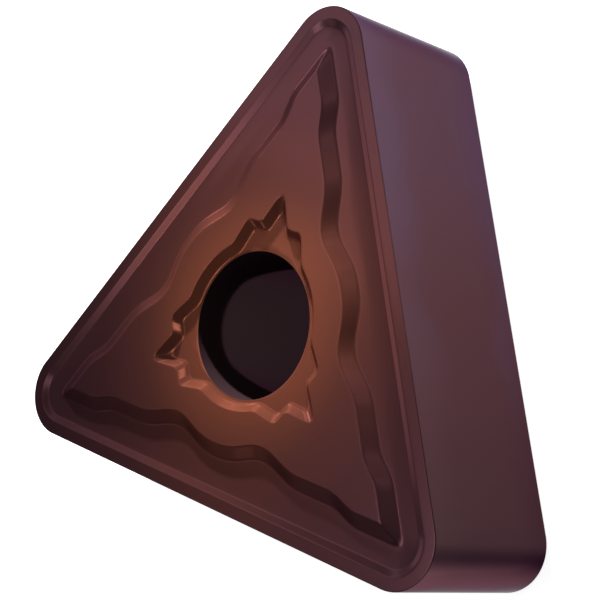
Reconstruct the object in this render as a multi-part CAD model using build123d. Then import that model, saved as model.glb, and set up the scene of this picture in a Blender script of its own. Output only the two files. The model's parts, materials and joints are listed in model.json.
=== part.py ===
from build123d import *
import os
from math import atan, degrees, radians, tan

# Double-sided triangular turning insert, pressed and sintered in one piece.
# It lies flat: +Z is up, a corner points along +Y, and the origin is on the axis of
# the clamping hole, half way up. All sizes are in millimetres.

# Outer form: a 60 degree triangle with square flanks and honed cutting edges
corner_count = 3
inscribed_circle = 9.525
corner_radius = 1.2
thickness = 4.76
hone_radius = 0.03

# Clamping hole, straight through
hole_diameter = 3.81

# Seat: the raised middle of each face, which rests in the holder's pocket.
# The thickness runs from a cutting edge on one face to the seat on the other.
seat_rise = 0.1

# Chip groove round each face: a level land at the cutting edge, a steep rake facet,
# a gentle ramp and a floor. Depths are taken from the cutting edge.
land_width = 0.34
rake_run = 0.18
rake_drop = 0.07
ramp_run = 0.39
groove_depth = 0.11

# Wavy wall between the groove and the seat, the same on both halves of each side.
# An inset is a distance in from the side, and a place is a distance along it from
# its middle. Both are taken at the seat, and the wall runs out from there to its foot.
crown_inset = 1.64
valley_inset = 2.01
valley_place = 1.57
shoulder_inset = 1.685
shoulder_place = 3.0
shoulder_length = 0.9
nose_inset = 1.435
nose_length = 0.75
nose_radius = 0.15
wall_run = 0.37

# How far the level stretch at each turn of the wave eases into the next rise or fall,
# as a share of that rise or fall
crown_ease = 0.52
valley_ease = 0.33
shoulder_ease = 0.42
nose_ease = 0.38

# Star recess round the hole: a ring, and towards each corner a spike that stands on
# a shoulder. Reaches are taken from the hole's wall, all at the level of the seat.
recess_depth = 0.2
recess_wall_run = 0.2
ring_width = 0.3
shoulder_reach = 0.69
shoulder_half_width = 0.95
shoulder_splay = 21.0
spike_reach = 1.64
spike_half_width = 0.47
spike_tip_radius = 0.14
recess_corner_radius = 0.06

# Derived sizes
inradius = inscribed_circle / 2
hole_radius = hole_diameter / 2
edge_height = (thickness - seat_rise) / 2
seat_height = edge_height + seat_rise
half_side_per_inradius = tan(radians(180 / corner_count))
turns = [360 / corner_count * step for step in range(corner_count)]


def rounded_triangle(inset):
    """The outer outline moved in from every side by an inset, its corners concentric."""
    outline = RegularPolygon(inradius - inset, corner_count, major_radius=False, rotation=90)
    radius = corner_radius - inset
    return fillet(outline.vertices(), radius) if radius > 0 else outline


def leaning_edges(solid):
    """The edges of a solid that run from one level to another."""
    return solid.edges().filter_by(Plane.XY, reverse=True)


def swell(start, start_ease, end, end_ease):
    """A smooth rise or fall along a side, level at both its ends."""
    span = end[0] - start[0]
    start_handle = (start[0] + start_ease * span, start[1])
    end_handle = (end[0] - end_ease * span, end[1])
    return Bezier(start, start_handle, end_handle, end)


def wave_outline(outwards):
    """The wavy outline of the seat, moved out towards the sides by a distance."""
    crown = (0, crown_inset - inradius - outwards)
    valley = (valley_place, valley_inset - inradius - outwards)
    shoulder_start = (shoulder_place, shoulder_inset - inradius - outwards)
    shoulder_end = (shoulder_place + shoulder_length, shoulder_start[1])
    nose_y = nose_inset - inradius - outwards
    nose_start = ((inradius - nose_inset) * half_side_per_inradius - nose_length, nose_y)
    nose_tip = (-nose_y * half_side_per_inradius, nose_y)

    # The side below the hole, from its middle to the corner at the right
    half_side = Curve() + [
        swell(crown, crown_ease, valley, valley_ease),
        swell(valley, valley_ease, shoulder_start, shoulder_ease),
        Line(shoulder_start, shoulder_end),
        swell(shoulder_end, shoulder_ease, nose_start, nose_ease),
        Line(nose_start, nose_tip),
    ]
    side = half_side + mirror(half_side, about=Plane.YZ)
    return make_face(Curve() + [side.rotate(Axis.Z, turn) for turn in turns])


def blank():
    """The triangle with square flanks and honed cutting edges."""
    body = extrude(rounded_triangle(0), amount=edge_height, both=True)
    rims = body.edges().filter_by(Plane.XY)
    return fillet(rims, hone_radius)


def groove():
    """What the chip groove takes out of the upper face."""
    rake_end = land_width + rake_run
    ramp_end = rake_end + ramp_run
    steps = [(ramp_end, groove_depth), (rake_end, rake_drop), (land_width, 0)]
    return loft(
        [Pos(0, 0, edge_height - drop) * rounded_triangle(inset) for inset, drop in steps],
        ruled=True,
    )


def seat():
    """The raised seat of the upper face, with its wavy sloping wall and pointed noses."""
    foot = Pos(0, 0, edge_height - groove_depth) * wave_outline(wall_run)
    top = Pos(0, 0, seat_height) * wave_outline(0)
    block = loft([foot, top], ruled=True)
    noses = leaning_edges(block).sort_by_distance((0, 0, edge_height))[-corner_count:]
    return fillet(noses, nose_radius)


def recess_lobe():
    """One shoulder and its spike, towards +Y, with walls that lean in to the floor."""
    shoulder = hole_radius + shoulder_reach
    splay = shoulder * tan(radians(shoulder_splay))
    right_half = [
        (0, hole_radius + spike_reach),
        (spike_half_width, shoulder),
        (shoulder_half_width, shoulder),
        (shoulder_half_width + splay, 0),
    ]
    left_half = [(-x, y) for x, y in reversed(right_half[1:])]
    outline = Pos(0, 0, seat_height) * make_face(Polyline(*right_half, *left_half, close=True))
    wall_lean = degrees(atan(recess_wall_run / recess_depth))
    lobe = extrude(outline, amount=-recess_depth, taper=wall_lean)

    # The first two edges along Y are at the lobe's root, inside the ring, and stay sharp
    lobe = fillet(leaning_edges(lobe).sort_by(Axis.Y)[-1], spike_tip_radius)
    return fillet(leaning_edges(lobe).sort_by(Axis.Y)[2:-2], recess_corner_radius)


def recess():
    """What the star recess takes out of the upper seat."""
    ring_radius = hole_radius + ring_width
    ring_middle = Pos(0, 0, seat_height - recess_depth / 2)
    ring = ring_middle * Cone(ring_radius - recess_wall_run, ring_radius, recess_depth)
    lobe = recess_lobe()
    return ring + [lobe.rotate(Axis.Z, turn) for turn in turns]


def insert():
    """The whole insert, both faces alike and mirrored about the middle plane."""
    body = blank()
    for pocket in (groove(), mirror(groove(), about=Plane.XY)):
        body -= pocket
    for block in (seat(), mirror(seat(), about=Plane.XY)):
        body += block
    for pocket in (recess(), mirror(recess(), about=Plane.XY)):
        body -= pocket
    return body - Cylinder(hole_radius, 2 * seat_height)


os.makedirs("parts", exist_ok=True)
export_step(insert(), "parts/insert.step")
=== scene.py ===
import json
from math import atan2, cos, hypot, pi, radians, sin, tan

import bpy
import numpy as np
from bpy.props import FloatProperty, FloatVectorProperty, IntProperty, PointerProperty
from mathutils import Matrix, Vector


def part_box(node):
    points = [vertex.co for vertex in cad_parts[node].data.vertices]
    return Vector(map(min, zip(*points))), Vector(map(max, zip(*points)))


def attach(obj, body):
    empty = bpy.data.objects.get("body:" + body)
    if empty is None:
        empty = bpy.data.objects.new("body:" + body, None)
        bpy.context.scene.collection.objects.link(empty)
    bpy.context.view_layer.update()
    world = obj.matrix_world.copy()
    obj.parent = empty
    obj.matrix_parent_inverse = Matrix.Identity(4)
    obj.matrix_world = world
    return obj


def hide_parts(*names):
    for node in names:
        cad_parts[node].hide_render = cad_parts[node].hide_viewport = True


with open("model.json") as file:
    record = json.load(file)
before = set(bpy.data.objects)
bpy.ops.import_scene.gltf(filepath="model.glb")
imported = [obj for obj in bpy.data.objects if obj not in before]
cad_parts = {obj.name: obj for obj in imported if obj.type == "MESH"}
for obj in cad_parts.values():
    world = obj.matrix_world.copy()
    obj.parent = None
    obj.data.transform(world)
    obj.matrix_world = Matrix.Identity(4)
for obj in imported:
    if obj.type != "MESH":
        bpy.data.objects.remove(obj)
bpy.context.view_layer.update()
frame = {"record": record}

bl_info = {
    "name": "Carbide Insert",
    "version": (1, 0, 0),
    "blender": (4, 5, 0),
    "location": "View3D > Sidebar > Carbide Insert",
    "description": "Builds a coated triangular turning insert and the studio it stands in",
    "category": "Object",
}

MM = 0.001
NODE = "insert"

# Softboxes: azimuth and elevation, width and height as seen from the insert, in degrees,
# and how bright each looks
SOFTBOXES = {
    "high back": (172, 56, 13, 12, 1.2),
    "back": (166, 44, 13, 12, 1.0),
    "high left": (226, 68, 13, 12, 2.5),
    "top": (202, 68, 13, 12, 0.6),
    "strip": (208, 62, 6, 5, 7.0),
    "horizon": (150, 6, 30, 8, 1.0),
    "overhead": (240, 82, 13, 12, 0.84),
    "left": (211, 44, 13, 12, 0.56),
    "low back": (160, 18, 13, 12, 5.2),
    "low middle": (190, 18, 25, 12, 1.35),
    "low right": (136, 18, 13, 12, 1.8),
    "low left": (250, 18, 13, 12, 1.5),
    "low shade": (222, 18, 26, 14, 0.12),
    "right": (96, 56, 13, 12, 0.43),
    "high front": (63, 56, 13, 12, 0.4),
    "front": (54, 40, 13, 12, 4.5),
}

# The key lamp casts the shadows. It stands behind a polarising screen, so that it lights
# the matt share of the coating and no surface mirrors it.
KEY = (112, 16, 2.5, 2.5, 5100)

# Directions round the hole, in degrees from +X: the corners, and the sides opposite to them
CORNERS = (90, 210, 330)
SIDES = (270, 30, 150)

# What the frame says of the insert: half its height at the seats, its inscribed circle
# and the hole's diameter
LOWEST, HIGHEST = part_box(NODE)
SEAT_HEIGHT = HIGHEST.z
INSCRIBED_CIRCLE = -2 * LOWEST.y
BORE = next(mount for mount in frame["record"]["mounts"] if mount["kind"] == "bore")
HOLE_DIAMETER = 2 * BORE["dims"]["r_mm"] * MM


# Properties

def length(name, text, metres):
    """A size in metres."""
    return FloatProperty(name=name, description=text, default=metres, unit="LENGTH", precision=6)


def share(name, text, default):
    """A number from 0 to 1."""
    return FloatProperty(name=name, description=text, default=default, min=0, max=1,
                         subtype="FACTOR")


def colour(name, text, default):
    """A linear colour."""
    return FloatVectorProperty(name=name, description=text, default=default, size=3,
                               min=0, max=1, subtype="COLOR")


class InsertSizes(bpy.types.PropertyGroup):
    """Sizes of the pressed insert. Both faces are alike."""

    inscribed_circle: length("Inscribed circle", "Circle that touches the three sides",
                             INSCRIBED_CIRCLE)
    corner_radius: length("Corner radius", "Radius of the cutting corners", 1.2 * MM)
    seat_height: length("Seat height", "Height of a seat over the middle plane", SEAT_HEIGHT)
    seat_rise: length("Seat rise", "How far a seat stands over the cutting edge", 0.1 * MM)
    hone_radius: length("Hone", "Rounding of the cutting edges", 0.03 * MM)
    hole_diameter: length("Hole", "Diameter of the clamping hole", HOLE_DIAMETER)
    hole_break: length("Hole edge", "Rounding of the hole's two rims", 0.008 * MM)

    land_width: length("Land", "Level strip along the cutting edge", 0.34 * MM)
    rake_run: length("Rake run", "Width of the steep facet inside the land", 0.18 * MM)
    rake_drop: length("Rake drop", "Depth of the groove at the end of the facet", 0.07 * MM)
    ramp_run: length("Ramp run", "Width of the gentle ramp down to the floor", 0.39 * MM)
    groove_depth: length("Groove depth", "Depth of the floor under the edge", 0.11 * MM)
    crease_bend: length("Crease bend", "Half width of the bends of the groove", 0.025 * MM)

    crown_inset: length("Crown inset", "Inset of the seat at the middle of a side", 1.64 * MM)
    valley_inset: length("Valley inset", "Largest inset of the seat", 2.01 * MM)
    valley_place: length("Valley place", "Place of the valley along the side", 1.57 * MM)
    shoulder_inset: length("Shoulder inset", "Inset of the straight shoulder", 1.685 * MM)
    shoulder_place: length("Shoulder place", "Where the shoulder starts", 3.0 * MM)
    shoulder_length: length("Shoulder length", "Length of the shoulder", 0.9 * MM)
    nose_inset: length("Nose inset", "Inset of the seat next to the corner", 1.435 * MM)
    nose_length: length("Nose length", "Straight stretch next to the corner", 0.75 * MM)
    nose_ease_top: length("Nose rounding", "Rounding of the nose at the seat", 0.07 * MM)
    nose_ease_foot: length("Nose foot rounding", "Rounding of the nose at its foot", 0.3 * MM)
    wall_run: length("Wall run", "How far the wavy wall slopes outwards", 0.37 * MM)
    wall_bend: length("Wall bend", "Half width of the bend at the top of the wall", 0.03 * MM)
    foot_ease: length("Foot rounding", "Rounding at the foot of the wavy wall", 0.025 * MM)
    crown_ease: share("Crown ease", "Level share of the rise or fall at the crown", 0.52)
    valley_ease: share("Valley ease", "Level share of the rise or fall at the valley", 0.33)
    shoulder_ease: share("Shoulder ease", "Level share at the shoulder", 0.42)
    nose_ease: share("Nose ease", "Level share at the nose", 0.38)

    recess_depth: length("Recess depth", "Depth of the star under the seat", 0.2 * MM)
    recess_wall_run: length("Recess wall", "How far the star's walls lean in", 0.2 * MM)
    recess_rim_bend: length("Recess rim", "Half width of the bend at the seat", 0.015 * MM)
    recess_foot_bend: length("Recess foot", "Half width of the bend at the floor", 0.055 * MM)
    ring_width: length("Ring", "Width of the ring round the hole", 0.3 * MM)
    shoulder_reach: length("Step reach", "How far a step goes out from the hole", 0.69 * MM)
    shoulder_half_width: length("Step width", "Half the width of a step at its end", 0.95 * MM)
    shoulder_splay: FloatProperty(name="Step splay", default=radians(21), subtype="ANGLE",
                                  description="How much a step widens towards the hole")
    spike_reach: length("Spike reach", "How far a spike goes out from the hole", 1.64 * MM)
    spike_half_width: length("Spike width", "Half the width of a spike at its root", 0.47 * MM)
    spike_ease: length("Spike rounding", "Rounding of the spike's tip", 0.31 * MM)
    step_ease: length("Step rounding", "Rounding of the outer corners of a step", 0.16 * MM)
    root_ease: length("Root rounding", "Rounding where a spike meets its step", 0.12 * MM)
    ring_ease: length("Ring rounding", "Rounding where a step meets the ring", 0.1 * MM)

    half_columns: IntProperty(name="Columns", default=122, min=24,
                              description="Mesh columns from a corner to the middle of a side")


class CoatingLooks(bpy.types.PropertyGroup):
    """Colours and finish of the coating. Colours are linear. Some hold painted light: the face's
    ramp in part, its drift, the flanks' change along Y, their violet blotches and the hole's
    darker wall.
    """

    # Face ramp: partly the coating's own colour, partly a painted pool of warm light round the
    # hole, fading towards the corners
    copper: colour("Copper", "Round the hole", (0.270, 0.078, 0.046))
    brown: colour("Brown", "Half way to the sides", (0.168, 0.053, 0.042))
    plum: colour("Plum", "Near the cutting edges", (0.125, 0.043, 0.045))
    dusk: colour("Dusk", "At the corners", (0.087, 0.035, 0.043))
    # Flank colours along Y: the coating's hue, with painted reflection and painted shade in
    # their change from corner to corner
    flank_mauve: colour("Flank mauve", "Flanks near the +Y corner", (0.071, 0.037, 0.046))
    flank_plum: colour("Flank plum", "Middle of the flanks", (0.067, 0.031, 0.034))
    flank_dusk: colour("Flank dusk", "Flanks far from the +Y corner", (0.046, 0.023, 0.025))
    flank_painted_shade: colour("Flank dark", "Band round the two far corners", (0.040, 0.019, 0.023))
    flank_rose: colour("Flank rose", "Foot of the two far corners", (0.190, 0.085, 0.095))
    # Painted reflection: violet blotches on the flanks, stronger near the edges
    flank_painted_reflection: colour("Flank violet", "Soft blotches near the edges", (0.074, 0.042, 0.061))
    # Painted shade: the hole's wall keeps the coating's violet hue, painted darker as shade
    # inside the hole
    bore_painted_shade: colour("Bore", "Wall of the hole", (0.047, 0.025, 0.030))
    # Painted light: the face's colour grows lighter by this share per millimetre towards 60
    # degrees from +X
    painted_light_drift: share("Drift", "How much lighter the face grows per millimetre across it", 0.04)
    roughness: share("Roughness", "Roughness of the satin coating", 0.27)
    crisp_roughness: share("Crisp roughness", "Roughness of the coating's smooth spots", 0.12)
    crisp_share: share("Crisp share", "Share of the smooth spots", 0.25)
    bore_roughness: share("Bore roughness", "Roughness of the hole's smoother wall", 0.06)
    grazing: colour("Grazing", "Tint of what the coating mirrors at a slant", (0.4, 0.4, 0.45))
    bore_grazing: colour("Bore grazing", "The same on the hole's wall", (0.5, 0.45, 0.5))
    metal: share("Metal", "Mirroring share of the coating round the hole", 0.62)
    edge_metal: share("Edge metal", "The same towards the cutting edges", 0.85)
    bore_metal: share("Bore metal", "The same on the hole's wall", 0.45)
    grain: share("Grain", "Strength of the fine surface grain", 0.15)


class StudioSet(bpy.types.PropertyGroup):
    """The camera, the floor and the lamps."""

    camera_place: FloatVectorProperty(
        name="Camera place", description="Where the camera stands", subtype="TRANSLATION",
        default=(29.0414 * MM, 3.6291 * MM, 33.7178 * MM))
    camera_turn: FloatVectorProperty(
        name="Camera turn", description="How the camera is turned", subtype="EULER",
        default=(radians(9.9562), radians(40.4798), radians(20.5455)))
    lens: FloatProperty(name="Lens", description="Focal length in millimetres", default=101.43)
    lamp_distance: length("Lamp distance", "How far off the softboxes stand", 90 * MM)
    floor_colour: colour("Floor", "Colour of the pale floor", (0.8, 0.8, 0.8))
    floor_reach: length("Floor reach", "Half the width of the floor", 500 * MM)
    floor_lift: share("Floor lift", "How far the floor is lifted towards white", 0.85)
    world_level: FloatProperty(name="Room light", default=0.13, min=0,
                               description="Brightness of the room round the insert")
    light: FloatProperty(name="Lamps", default=1.0, min=0,
                         description="Brightness of all the lamps together")


# Forms of the face, all worked out in metres on arrays of points

# Points on each stretch of the seat's wavy edge
CURVE_POINTS = 60


def rounded_max(first, second, ease):
    """The larger of two heights, with the change from one to the other rounded.

    Where they differ by less than the ease, (ease - difference)^2 / (4 * ease) is added."""
    overlap = np.maximum(ease - np.abs(first - second), 0)
    return np.maximum(first, second) + overlap ** 2 / (4 * ease)


def rounded_min(first, second, ease):
    """The smaller of two heights, rounded in the same way."""
    return -rounded_max(-first, -second, ease)


def bent_line(place, points, bends):
    """Height of a line through the points, level before the first and after the last.

    It is the first height plus, for each point, the change of slope there times the
    distance past the point. Within a bend of the point that distance is replaced by the
    parabola (distance + bend)^2 / (4 * bend), so that the slope changes smoothly."""
    places, heights = np.array(points).T
    slopes = np.concatenate(([0], np.diff(heights) / np.diff(places), [0]))
    height = np.full_like(place, heights[0])
    for point, turn, bend in zip(places, np.diff(slopes), bends):
        past = place - point
        bending = (np.clip(past, -bend, bend) + bend) ** 2 / (4 * bend)
        height += turn * np.where(past > bend, past, bending)
    return height


def along_and_across(x, y, direction):
    """Points in a frame turned about the hole: along a direction in degrees, and across it."""
    turn = radians(direction)
    return x * cos(turn) + y * sin(turn), y * cos(turn) - x * sin(turn)


def inset(sizes, x, y):
    """How far a point lies inside the outline.

    It is the least distance to a side. Where the point is nearest to a corner's arc it is
    the corner's radius less the distance to the centre of that arc."""
    sides = [along_and_across(x, y, side)[0] for side in SIDES]
    result = sizes.inscribed_circle / 2 - np.maximum.reduce(sides)
    for corner in CORNERS:
        along, across = along_and_across(x, y, corner)
        ahead = along - (sizes.inscribed_circle - 2 * sizes.corner_radius)
        on_arc = ahead * tan(radians(60)) > np.abs(across)
        result = np.where(on_arc, sizes.corner_radius - np.hypot(ahead, across), result)
    return result


def seat_inset(sizes, place):
    """Inset of the seat's wavy edge at a place along a side, the same on both halves.

    Between one turn of the wave and the next it is a cubic Bezier curve that starts and
    ends level, its two handles a share of the way in from its ends."""
    nose_tip = (sizes.inscribed_circle / 2 - sizes.nose_inset) * tan(radians(60))
    shoulder_end = sizes.shoulder_place + sizes.shoulder_length
    turns = (
        (0, sizes.crown_inset, sizes.crown_ease),
        (sizes.valley_place, sizes.valley_inset, sizes.valley_ease),
        (sizes.shoulder_place, sizes.shoulder_inset, sizes.shoulder_ease),
        (shoulder_end, sizes.shoulder_inset, sizes.shoulder_ease),
        (nose_tip - sizes.nose_length, sizes.nose_inset, sizes.nose_ease),
    )
    t = np.linspace(0, 1, CURVE_POINTS)
    weights = ((1 - t) ** 3, 3 * t * (1 - t) ** 2, 3 * t ** 2 * (1 - t), t ** 3)
    places, insets = [], []
    for (start, start_inset, lead), (end, end_inset, tail) in zip(turns, turns[1:]):
        span = end - start
        handles = (start, start + lead * span, end - tail * span, end)
        places.append(sum(weight * handle for weight, handle in zip(weights, handles)))
        first_half = weights[0] + weights[1]
        insets.append(start_inset * first_half + end_inset * (1 - first_half))
    return np.interp(np.abs(place), np.concatenate(places), np.concatenate(insets))


def past_seat(sizes, x, y):
    """How far a point lies outside the seat's edge, below 0 on the seat.

    For one side it is the edge's inset less the point's own. The three sides are joined by
    the rounded maximum, which rounds the noses more towards their foot."""
    outs = []
    for side in SIDES:
        along, across = along_and_across(x, y, side)
        outs.append(seat_inset(sizes, across) - (sizes.inscribed_circle / 2 - along))
    down = np.clip(np.maximum.reduce(outs) / sizes.wall_run, 0, 1)
    ease = sizes.nose_ease_top + (sizes.nose_ease_foot - sizes.nose_ease_top) * down
    return rounded_max(rounded_max(outs[0], outs[1], ease), outs[2], ease)


def inside_star(sizes, x, y):
    """How far a point lies inside the star recess, measured square to its outline.

    The ring gives its radius less the distance to the axis. A step is the smaller of the
    distances to its end and to its splayed side, and a spike the smaller of those to its
    two sides, both on their own side of the axis only. The star is the largest of them
    all, and each corner is rounded."""
    hole_radius = sizes.hole_diameter / 2
    step_end = hole_radius + sizes.shoulder_reach
    spike_length = sizes.spike_reach - sizes.shoulder_reach
    spike_slant = hypot(spike_length, sizes.spike_half_width)
    star = hole_radius + sizes.ring_width - np.hypot(x, y)
    for corner in CORNERS:
        along, across = along_and_across(x, y, corner)
        left = step_end - along
        edge = sizes.shoulder_half_width + left * tan(sizes.shoulder_splay)
        step = rounded_min(left, (edge - np.abs(across)) * cos(sizes.shoulder_splay),
                           sizes.step_ease)
        half = sizes.spike_half_width * (left + spike_length) / spike_length
        lean = spike_length / spike_slant
        spike = rounded_min((half - across) * lean, (half + across) * lean, sizes.spike_ease)
        arm = np.minimum(rounded_max(step, spike, sizes.root_ease), along)
        star = rounded_max(star, arm, sizes.ring_ease)
    return star


def face_height(sizes, x, y):
    """Height of the upper face.

    The groove is a bent line over the inset: land, rake facet, ramp and floor. The seat is
    a bent line over the distance past its edge, and the higher of the two shows. The star
    takes away a bent line over the distance inside it."""
    edge_height = sizes.seat_height - sizes.seat_rise
    rake_end = sizes.land_width + sizes.rake_run
    floor_start = rake_end + sizes.ramp_run
    groove = bent_line(inset(sizes, x, y), (
        (sizes.land_width, edge_height),
        (rake_end, edge_height - sizes.rake_drop),
        (floor_start, edge_height - sizes.groove_depth),
    ), (sizes.crease_bend, sizes.crease_bend, 6 * sizes.crease_bend))

    # The wall's line goes on as far again below its foot, where the groove hides it
    wall_drop = sizes.seat_rise + sizes.groove_depth
    seat = bent_line(past_seat(sizes, x, y), (
        (0, sizes.seat_height),
        (2 * sizes.wall_run, sizes.seat_height - 2 * wall_drop),
    ), (sizes.wall_bend, sizes.wall_bend))

    star = bent_line(inside_star(sizes, x, y), (
        (0, 0),
        (sizes.recess_wall_run, sizes.recess_depth),
    ), (sizes.recess_rim_bend, sizes.recess_foot_bend))
    return rounded_max(groove, seat, sizes.foot_ease) - star


# Mesh of the insert: columns go round the hole, rows follow the section from the hole out
# over the upper face, down the flank, in over the lower face and up the hole

# How often a radius is halved, and the least step between two rows
HALVINGS = 40
HAIR = 0.0005 * MM


def column_angles(sizes):
    """Angles of the columns about the hole, in radians.

    Each sixth of a turn is divided between knots, closely at the corner's arc and at the
    star's corners and loosely along the side. Each knot has a column of its own."""
    step_end = sizes.hole_diameter / 2 + sizes.shoulder_reach
    knots = (
        (0, 0),
        (0.31, radians(8)),
        (0.38, atan2(sizes.spike_half_width, step_end)),
        (0.58, atan2(sizes.shoulder_half_width, step_end)),
        (0.80, radians(36)),
        (1, radians(60)),
    )
    shares, angles = np.array(knots).T
    half = np.interp(np.arange(sizes.half_columns + 1),
                     np.round(shares * sizes.half_columns), angles)
    sector = np.concatenate((-half[-2:0:-1], half))
    return np.concatenate([sector + radians(corner) for corner in CORNERS])


def radius_at(field, sizes, level, turn):
    """Radius at which a field that falls outwards comes down to a level.

    It is found between the axis and a circle round the whole insert, by halving."""
    low = np.zeros_like(turn)
    high = np.full_like(turn, 2 * sizes.inscribed_circle)
    for _ in range(HALVINGS):
        middle = (low + high) / 2
        short = field(sizes, middle * np.cos(turn), middle * np.sin(turn)) > level
        low = np.where(short, middle, low)
        high = np.where(short, high, middle)
    return middle


def rows_between(inner, outer, count):
    """Rows evenly spread between two rows, without the two."""
    shares = np.linspace(0, 1, count + 2)[1:-1, None]
    return inner + (outer - inner) * shares


def face_rows(sizes, turn):
    """Radii of the upper face's rows, from the hole's rim to the start of the hone.

    Rows follow the outlines of the star, the seat and the groove at set distances from
    them, close together in each bend, with even rows on the level stretches between."""

    def follow(field, levels):
        return np.array([radius_at(field, sizes, level, turn) for level in levels])

    star_foot = sizes.recess_wall_run
    foot_bend = sizes.recess_foot_bend
    rim_bend = sizes.recess_rim_bend
    star = follow(inside_star, np.concatenate((
        np.linspace(star_foot + foot_bend * 1.1, star_foot - foot_bend, 8),
        np.linspace(star_foot / 2, rim_bend, 3),
        np.linspace(rim_bend / 2, -rim_bend, 4),
        [-3 * rim_bend],
    )))

    def outside_seat(sizes, x, y):
        return -past_seat(sizes, x, y)

    # The rounding at the wall's foot, and the last row above it and the first one past it
    foot_near, foot_above, foot_past = 0.05 * MM, 0.07 * MM, 0.09 * MM
    wall_bend = sizes.wall_bend
    wall_foot = sizes.wall_run
    wall = follow(outside_seat, -np.concatenate((
        [-3 * wall_bend],
        np.linspace(-wall_bend, wall_bend, 5),
        np.linspace(wall_bend * 2, wall_foot - foot_above, 3),
        np.linspace(wall_foot - foot_near, wall_foot + foot_near, 6),
        [wall_foot + foot_past],
    )))

    land = sizes.land_width
    rake = land + sizes.rake_run
    ramp = rake + sizes.ramp_run
    bend = sizes.crease_bend
    rim = follow(inset, np.concatenate((
        [ramp],
        [rake + 4 * bend],
        np.linspace(rake + bend, rake - bend, 5),
        np.linspace(land + bend, land - bend, 5),
        [land - 3 * bend, land / 2, sizes.hone_radius * 1.6],
    )))

    bore = np.full((1, len(turn)), sizes.hole_diameter / 2 + sizes.hole_break)
    rows = np.concatenate((
        bore,
        rows_between(bore, star[0], 3),
        star,
        rows_between(star[-1], wall[0], 3),
        wall,
        rows_between(wall[-1], rim[0], 1),
        rim,
    ))

    # Rows keep their order, a hair apart, where the hole cuts through an outline
    hairs = HAIR * np.arange(len(rows))[:, None]
    return np.maximum.accumulate(rows - hairs) + hairs


def quarter_turn(count):
    """Sine and cosine of an angle that goes from 0 to a right angle, one row for each."""
    angle = np.linspace(0, pi / 2, count)[:, None]
    return np.sin(angle), np.cos(angle)


def insert_grid(sizes):
    """Points of the whole closed surface, rows by columns by 3, and each one's flank share.

    The upper face runs from the hole's rim, a quarter circle, to the hone, another one.
    The lower face is its mirror image, and rows at even heights join the two."""
    rim_rows, hone_rows, upright_rows = 4, 7, 3
    turn = column_angles(sizes)
    face = face_rows(sizes, turn)
    face_levels = face_height(sizes, face * np.cos(turn), face * np.sin(turn))

    rise, run = quarter_turn(rim_rows)
    rounding = sizes.hole_break
    rim = sizes.hole_diameter / 2 + rounding * (1 - run[:-1]) + 0 * turn
    rim_levels = face_levels[:1] - rounding * (1 - rise[:-1])

    rise, run = quarter_turn(hone_rows)
    hone = sizes.hone_radius
    outlines = [radius_at(inset, sizes, level, turn) for level in hone * (1 - rise[:, 0])]
    hone_levels = sizes.seat_height - sizes.seat_rise - hone * (1 - run) + 0 * turn

    radii = np.concatenate((rim, face, outlines))
    levels = np.concatenate((rim_levels, face_levels, hone_levels))
    flank = np.concatenate((np.ones(len(rim)), np.zeros(len(face)), rise[:, 0]))
    down = rows_between(levels[-1:], -levels[-1:], upright_rows)
    up = rows_between(-levels[:1], levels[:1], upright_rows)
    radii = np.concatenate((radii, radii[-1:] + 0 * down, radii[::-1], radii[:1] + 0 * up))
    levels = np.concatenate((levels, down, -levels[::-1], up))
    flank = np.concatenate((flank, np.ones(len(down)), flank[::-1], np.ones(len(up))))
    points = np.stack((radii * np.cos(turn), radii * np.sin(turn), levels), 2)
    return points, flank[:, None] + 0 * turn


def mesh_from_grid(name, points, attributes):
    """A closed, smooth mesh of four-sided faces on a grid that joins up both ways."""
    row_count, column_count = points.shape[:2]
    index = np.arange(row_count * column_count).reshape(row_count, column_count)
    next_row = np.roll(index, -1, 0)
    next_column = np.roll(index, -1, 1)
    corner = np.roll(next_row, -1, 1)
    faces = np.stack((index, next_row, corner, next_column), 2).reshape(-1, 4)

    mesh = bpy.data.meshes.new(name)
    mesh.vertices.add(points.shape[0] * points.shape[1])
    mesh.vertices.foreach_set("co", points.astype(np.float32).ravel())
    mesh.loops.add(faces.size)
    mesh.loops.foreach_set("vertex_index", faces.ravel().astype(np.int32))
    mesh.polygons.add(len(faces))
    mesh.polygons.foreach_set("loop_start", np.arange(0, faces.size, 4, dtype=np.int32))
    mesh.polygons.foreach_set("use_smooth", np.ones(len(faces), dtype=bool))
    for label, values in attributes.items():
        attribute = mesh.attributes.new(label, "FLOAT", "POINT")
        attribute.data.foreach_set("value", values.astype(np.float32).ravel())
    mesh.update(calc_edges=True)
    if mesh.validate():
        raise RuntimeError(f"the mesh {name} had faults")
    return mesh


# Materials

# Sockets of a colour Mix node
MIX_FIRST, MIX_SECOND, MIX_RESULT = 6, 7, 2


def add_node(tree, kind, inputs, output=0, **settings):
    """Adds a node and returns one of its outputs. Each input gets a value or a link."""
    node = tree.nodes.new(kind)
    for key, value in settings.items():
        setattr(node, key, value)
    for key, value in inputs.items():
        if isinstance(value, bpy.types.NodeSocket):
            tree.links.new(value, node.inputs[key])
        else:
            node.inputs[key].default_value = value
    return node.outputs[output] if node.outputs else node


def new_tree(owner):
    """The emptied node tree of a material or a world."""
    owner.use_nodes = True
    owner.node_tree.nodes.clear()
    return owner.node_tree


def calculate(tree, operation, *values):
    """One step of arithmetic on numbers."""
    return add_node(tree, "ShaderNodeMath", dict(enumerate(values)), operation=operation)


def fade(tree, value, start, end):
    """0 before the start, 1 past the end and smooth in between."""
    return add_node(tree, "ShaderNodeMapRange", {
        "Value": value, "From Min": start, "From Max": end,
    }, interpolation_type="SMOOTHSTEP")


def mix_colours(tree, factor, first, second):
    """The first colour at 0 and the second at 1."""
    return add_node(tree, "ShaderNodeMix", {
        "Factor": factor, MIX_FIRST: first, MIX_SECOND: second,
    }, output=MIX_RESULT, data_type="RGBA")


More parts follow.
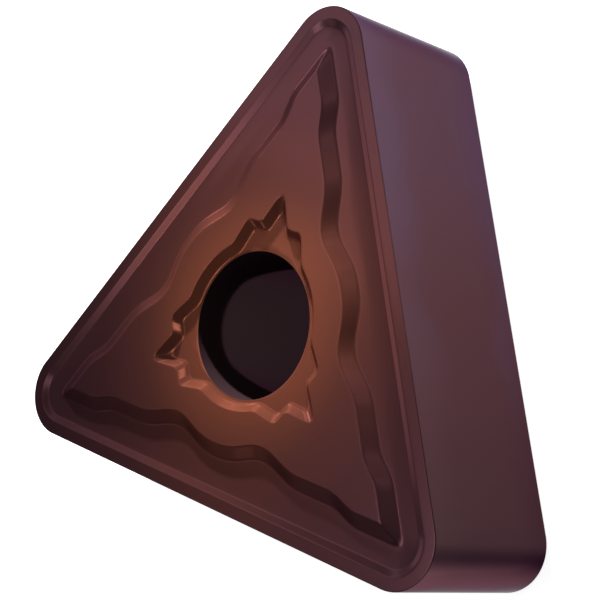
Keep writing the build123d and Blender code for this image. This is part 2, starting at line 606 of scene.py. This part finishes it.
def colour_ramp(tree, factor, stops):
    """A colour that changes smoothly from stop to stop, each a place and a colour."""
    ramp = tree.nodes.new("ShaderNodeValToRGB")
    tree.links.new(factor, ramp.inputs["Fac"])
    ramp.color_ramp.interpolation = "CARDINAL"
    elements = ramp.color_ramp.elements
    while len(elements) < len(stops):
        elements.new(0.5)
    for element, (place, tint) in zip(elements, stops):
        element.position = place
        element.color = (*tint, 1)
    return ramp.outputs["Color"]


# Where the colours change, in millimetres: from the hole's wall to the face, over the face from
# the hole out to the corners, partly painted light, and over the flanks along Y, painted
# reflection and shade
RIM_WALL, RIM_FACE = 1.92, 1.99
FACE_START, FACE_END = 2.0, 8.0
FLANK_START, FLANK_END = -5.0, 8.0

# Painted light: the face's colour is painted lighter this way, 60 degrees from +X
PAINTED_LIGHT_WAY = (0.5, 0.866, 0)


def straight_change(tree, value, start, end, first=0.0, last=1.0):
    """The first number up to the start, the last one past the end, straight in between."""
    return add_node(tree, "ShaderNodeMapRange", {
        "Value": value, "From Min": start, "From Max": end, "To Min": first, "To Max": last,
    })


def face_colour(tree, looks, in_mm, reach):
    """Copper at the hole, then brown and plum, and dusk at the corners: partly the coating's own
    colour, partly a painted pool of warm light round the hole.

    The colour follows the reach from the hole to the corners. It is multiplied by 1 plus
    the painted light drift for each millimetre in the way in which the face is painted lighter,
    a painted gradient of light."""
    face = colour_ramp(tree, reach, (
        (0.03, looks.copper), (0.25, looks.brown), (0.5, looks.plum), (0.93, looks.dusk),
    ))
    lighter = add_node(tree, "ShaderNodeVectorMath", {0: in_mm, 1: PAINTED_LIGHT_WAY},
                       output="Value", operation="DOT_PRODUCT")
    painted_light_drift = calculate(tree, "MULTIPLY_ADD", lighter, looks.painted_light_drift, 1.0)
    return add_node(tree, "ShaderNodeVectorMath", {0: face, "Scale": painted_light_drift}, operation="SCALE")


def flank_painted_light_colour(tree, looks, in_mm):
    """Rose at the foot of the far corners, a dark band, then dusk, plum and mauve to +Y: the hue
    is the coating's, the change along Y is painted reflection and painted shade.

    The colour follows the place along Y. Violet blotches of painted reflection lie over it where
    noise plus the distance from the middle plane, times its weight, is high. They fade in to +Y."""
    towards_corner = add_node(tree, "ShaderNodeSeparateXYZ", {"Vector": in_mm}, output="Y")
    along = straight_change(tree, towards_corner, FLANK_START, FLANK_END)
    # Painted reflection and painted shade, placed along Y
    plain = colour_ramp(tree, along, (
        (0.055, looks.flank_rose), (0.10, looks.flank_painted_shade), (0.14, looks.flank_dusk),
        (0.55, looks.flank_plum), (0.80, looks.flank_mauve),
    ))
    # Violet blotches of painted reflection
    edge_weight = 0.32
    blotches = add_node(tree, "ShaderNodeTexNoise", {
        "Vector": in_mm, "Scale": 0.35, "Detail": 2.0, "Roughness": 0.5,
    })
    height = add_node(tree, "ShaderNodeSeparateXYZ", {"Vector": in_mm}, output="Z")
    from_middle = calculate(tree, "ABSOLUTE", height)
    edgeward = calculate(tree, "MULTIPLY_ADD", from_middle, edge_weight, blotches)
    painted_reflection_share = calculate(tree, "MULTIPLY", fade(tree, edgeward, 0.7, 1.25),
                             fade(tree, along, 0.2, 0.9))
    return mix_colours(tree, painted_reflection_share, plain, (*looks.flank_painted_reflection, 1))


def coated_carbide(looks):
    """Satin metallic coating with smooth spots, copper at the hole and plum at the edges, partly
    painted light.

    Two shaders, one satin and one smooth, are mixed by the share of the smooth spots. Both
    mirror more of the light towards the cutting edges, and the hole's wall has a finish of
    its own, with its colour painted darker as shade inside the hole."""
    material = bpy.data.materials.new("coated carbide")
    tree = new_tree(material)
    place = add_node(tree, "ShaderNodeTexCoord", {}, output="Object")
    in_mm = add_node(tree, "ShaderNodeVectorMath", {0: place, "Scale": 1 / MM},
                     operation="SCALE")
    flat = add_node(tree, "ShaderNodeVectorMath", {0: in_mm, 1: (1, 1, 0)},
                    operation="MULTIPLY")
    radius = add_node(tree, "ShaderNodeVectorMath", {0: flat}, output="Value",
                      operation="LENGTH")
    on_bore = fade(tree, radius, RIM_FACE, RIM_WALL)
    reach = straight_change(tree, radius, FACE_START, FACE_END)

    # The hole's wall takes its colour painted darker, painted shade inside the hole
    flank = mix_colours(tree, on_bore, flank_painted_light_colour(tree, looks, in_mm), (*looks.bore_painted_shade, 1))
    on_flank = add_node(tree, "ShaderNodeAttribute", {}, output="Fac", attribute_name="flank")
    tint = mix_colours(tree, on_flank, face_colour(tree, looks, in_mm, reach), flank)

    # Fine grain of the pressed and coated surface, which also roughens it a little
    grain = add_node(tree, "ShaderNodeTexNoise", {
        "Vector": in_mm, "Scale": 22.0, "Detail": 3.0, "Roughness": 0.6,
    })
    grain_depth, grain_roughness = 0.004 * MM, 0.05
    bump = add_node(tree, "ShaderNodeBump", {
        "Height": grain, "Strength": looks.grain, "Distance": grain_depth,
    })
    even = straight_change(tree, on_bore, 0, 1, looks.roughness, looks.bore_roughness)
    satin = calculate(tree, "MULTIPLY_ADD", grain, grain_roughness, even)
    crisp = calculate(tree, "MINIMUM", satin, looks.crisp_roughness)

    # The mirroring share grows up to a little past half way to the corners
    edge_reach = 0.55
    face_metal = straight_change(tree, reach, 0, edge_reach, looks.metal, looks.edge_metal)
    metal = straight_change(tree, on_bore, 0, 1, face_metal, looks.bore_metal)
    slant = mix_colours(tree, on_bore, (*looks.grazing, 1), (*looks.bore_grazing, 1))
    finishes = [add_node(tree, "ShaderNodeBsdfPrincipled", {
        "Base Color": tint, "Metallic": metal, "Roughness": roughness, "Normal": bump,
        "Specular IOR Level": 0.0, "Specular Tint": slant,
    }) for roughness in (satin, crisp)]
    surface = add_node(tree, "ShaderNodeMixShader", {
        "Fac": looks.crisp_share, 1: finishes[0], 2: finishes[1],
    })
    add_node(tree, "ShaderNodeOutputMaterial", {"Surface": surface})
    return material


def pale_floor(studio):
    """Pale floor that keeps the insert's shadow.

    Seen by the camera, mirrored or through glass it is lifted towards white. From below
    it is clear."""
    material = bpy.data.materials.new("pale floor")
    tree = new_tree(material)
    rays = tree.nodes.new("ShaderNodeLightPath")
    seen = rays.outputs["Is Camera Ray"]
    for ray in ("Is Glossy Ray", "Is Transmission Ray"):
        seen = calculate(tree, "MAXIMUM", seen, rays.outputs[ray])
    lift = calculate(tree, "MULTIPLY", seen, studio.floor_lift)
    matt = add_node(tree, "ShaderNodeBsdfDiffuse", {"Color": (*studio.floor_colour, 1)})
    glow = add_node(tree, "ShaderNodeEmission", {"Strength": lift})
    both = add_node(tree, "ShaderNodeAddShader", {0: matt, 1: glow})
    clear = add_node(tree, "ShaderNodeBsdfTransparent", {})
    below = add_node(tree, "ShaderNodeNewGeometry", {}, output="Backfacing")
    surface = add_node(tree, "ShaderNodeMixShader", {"Fac": below, 1: both, 2: clear})
    add_node(tree, "ShaderNodeOutputMaterial", {"Surface": surface})
    return material


# Stage

def add_floor(studio, sizes):
    """A wide level square that the insert lies on."""
    reach = studio.floor_reach
    corners = [(x, y, -sizes.seat_height) for x, y in
               ((-reach, -reach), (reach, -reach), (reach, reach), (-reach, reach))]
    mesh = bpy.data.meshes.new("studio_floor")
    mesh.from_pydata(corners, [], [(0, 1, 2, 3)])
    mesh.materials.append(pale_floor(studio))
    floor = bpy.data.objects.new("studio_floor", mesh)
    bpy.context.scene.collection.objects.link(floor)


def add_softbox(studio, name, azimuth, elevation, width, height, level):
    """A rectangular lamp that faces the insert and looks as bright as its level.

    Azimuth is measured round the hole from +X and elevation from the floor. Width and
    height are how large the lamp looks from the insert, all in degrees, so its sides are
    twice the distance times the tangent of half of them. Its power is its level times pi
    times its area."""
    lamp = bpy.data.lights.new(name, "AREA")
    lamp.shape = "RECTANGLE"
    lamp.size = 2 * studio.lamp_distance * tan(radians(width / 2))
    lamp.size_y = 2 * studio.lamp_distance * tan(radians(height / 2))
    lamp.energy = studio.light * level * pi * lamp.size * lamp.size_y
    box = bpy.data.objects.new(name, lamp)
    turn, rise = radians(azimuth), radians(elevation)
    away = Vector((cos(turn) * cos(rise), sin(turn) * cos(rise), sin(rise)))
    box.location = away * studio.lamp_distance
    box.rotation_euler = away.to_track_quat("Z", "Y").to_euler()
    box.visible_camera = False
    bpy.context.scene.collection.objects.link(box)
    return box


def light_room(studio):
    """Dim even light all round. A camera that looks past the floor sees plain white."""
    world = bpy.data.worlds.new("white room")
    bpy.context.scene.world = world
    tree = new_tree(world)
    seen = add_node(tree, "ShaderNodeLightPath", {}, output="Is Camera Ray")
    level = add_node(tree, "ShaderNodeMapRange", {
        "Value": seen, "To Min": studio.world_level, "To Max": 1.0,
    })
    glow = add_node(tree, "ShaderNodeBackground", {"Color": (1, 1, 1, 1), "Strength": level})
    add_node(tree, "ShaderNodeOutputWorld", {"Surface": glow})


def add_camera(studio):
    """The camera at the place from which the insert is seen."""
    data = bpy.data.cameras.new("camera")
    data.lens = studio.lens
    data.clip_start, data.clip_end = 1 * MM, 1
    camera = bpy.data.objects.new("camera", data)
    camera.location = studio.camera_place
    camera.rotation_euler = studio.camera_turn
    bpy.context.scene.collection.objects.link(camera)
    bpy.context.scene.camera = camera


# Operators and panel

class INSERT_OT_press(bpy.types.Operator):
    """Presses the insert and coats it"""

    bl_idname = "insert.press"
    bl_label = "Press and coat the insert"

    def execute(self, context):
        scene = context.scene
        points, flank = insert_grid(scene.insert_sizes)
        mesh = mesh_from_grid("coated_insert", points, {"flank": flank})
        mesh.materials.append(coated_carbide(scene.coating_looks))
        piece = bpy.data.objects.new("coated_insert", mesh)
        scene.collection.objects.link(piece)
        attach(piece, "root")
        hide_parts(NODE)
        return {"FINISHED"}


class INSERT_OT_set_stage(bpy.types.Operator):
    """Sets up the floor, the lamps and the camera"""

    bl_idname = "insert.set_stage"
    bl_label = "Set the stage"

    def execute(self, context):
        scene = context.scene
        studio = scene.studio_set
        add_floor(studio, scene.insert_sizes)
        light_room(studio)
        for name, placing in SOFTBOXES.items():
            add_softbox(studio, name, *placing)
        add_softbox(studio, "key", *KEY).visible_glossy = False
        add_camera(studio)
        scene.view_settings.view_transform = "Standard"
        return {"FINISHED"}


class INSERT_PT_panel(bpy.types.Panel):
    """Lists the steps in the 3D view's sidebar"""

    bl_idname = "INSERT_PT_panel"
    bl_label = "Carbide Insert"
    bl_space_type = "VIEW_3D"
    bl_region_type = "UI"
    bl_category = "Carbide Insert"

    def draw(self, context):
        for step in STEPS:
            self.layout.operator(step.bl_idname)
        for group in SETTINGS:
            for name in SETTINGS[group].__annotations__:
                self.layout.prop(getattr(context.scene, group), name)


SETTINGS = {
    "insert_sizes": InsertSizes,
    "coating_looks": CoatingLooks,
    "studio_set": StudioSet,
}
STEPS = (INSERT_OT_press, INSERT_OT_set_stage)
CLASSES = (*SETTINGS.values(), *STEPS, INSERT_PT_panel)


def register():
    """Makes the classes known to Blender and gives the scene its settings."""
    for kind in CLASSES:
        bpy.utils.register_class(kind)
    for name, kind in SETTINGS.items():
        setattr(bpy.types.Scene, name, PointerProperty(type=kind))


def unregister():
    """Takes away what register added."""
    for name in SETTINGS:
        delattr(bpy.types.Scene, name)
    for kind in reversed(CLASSES):
        bpy.utils.unregister_class(kind)


def main():
    """Builds everything."""
    register()
    bpy.ops.insert.press()
    bpy.ops.insert.set_stage()


if __name__ == "__main__":
    main()
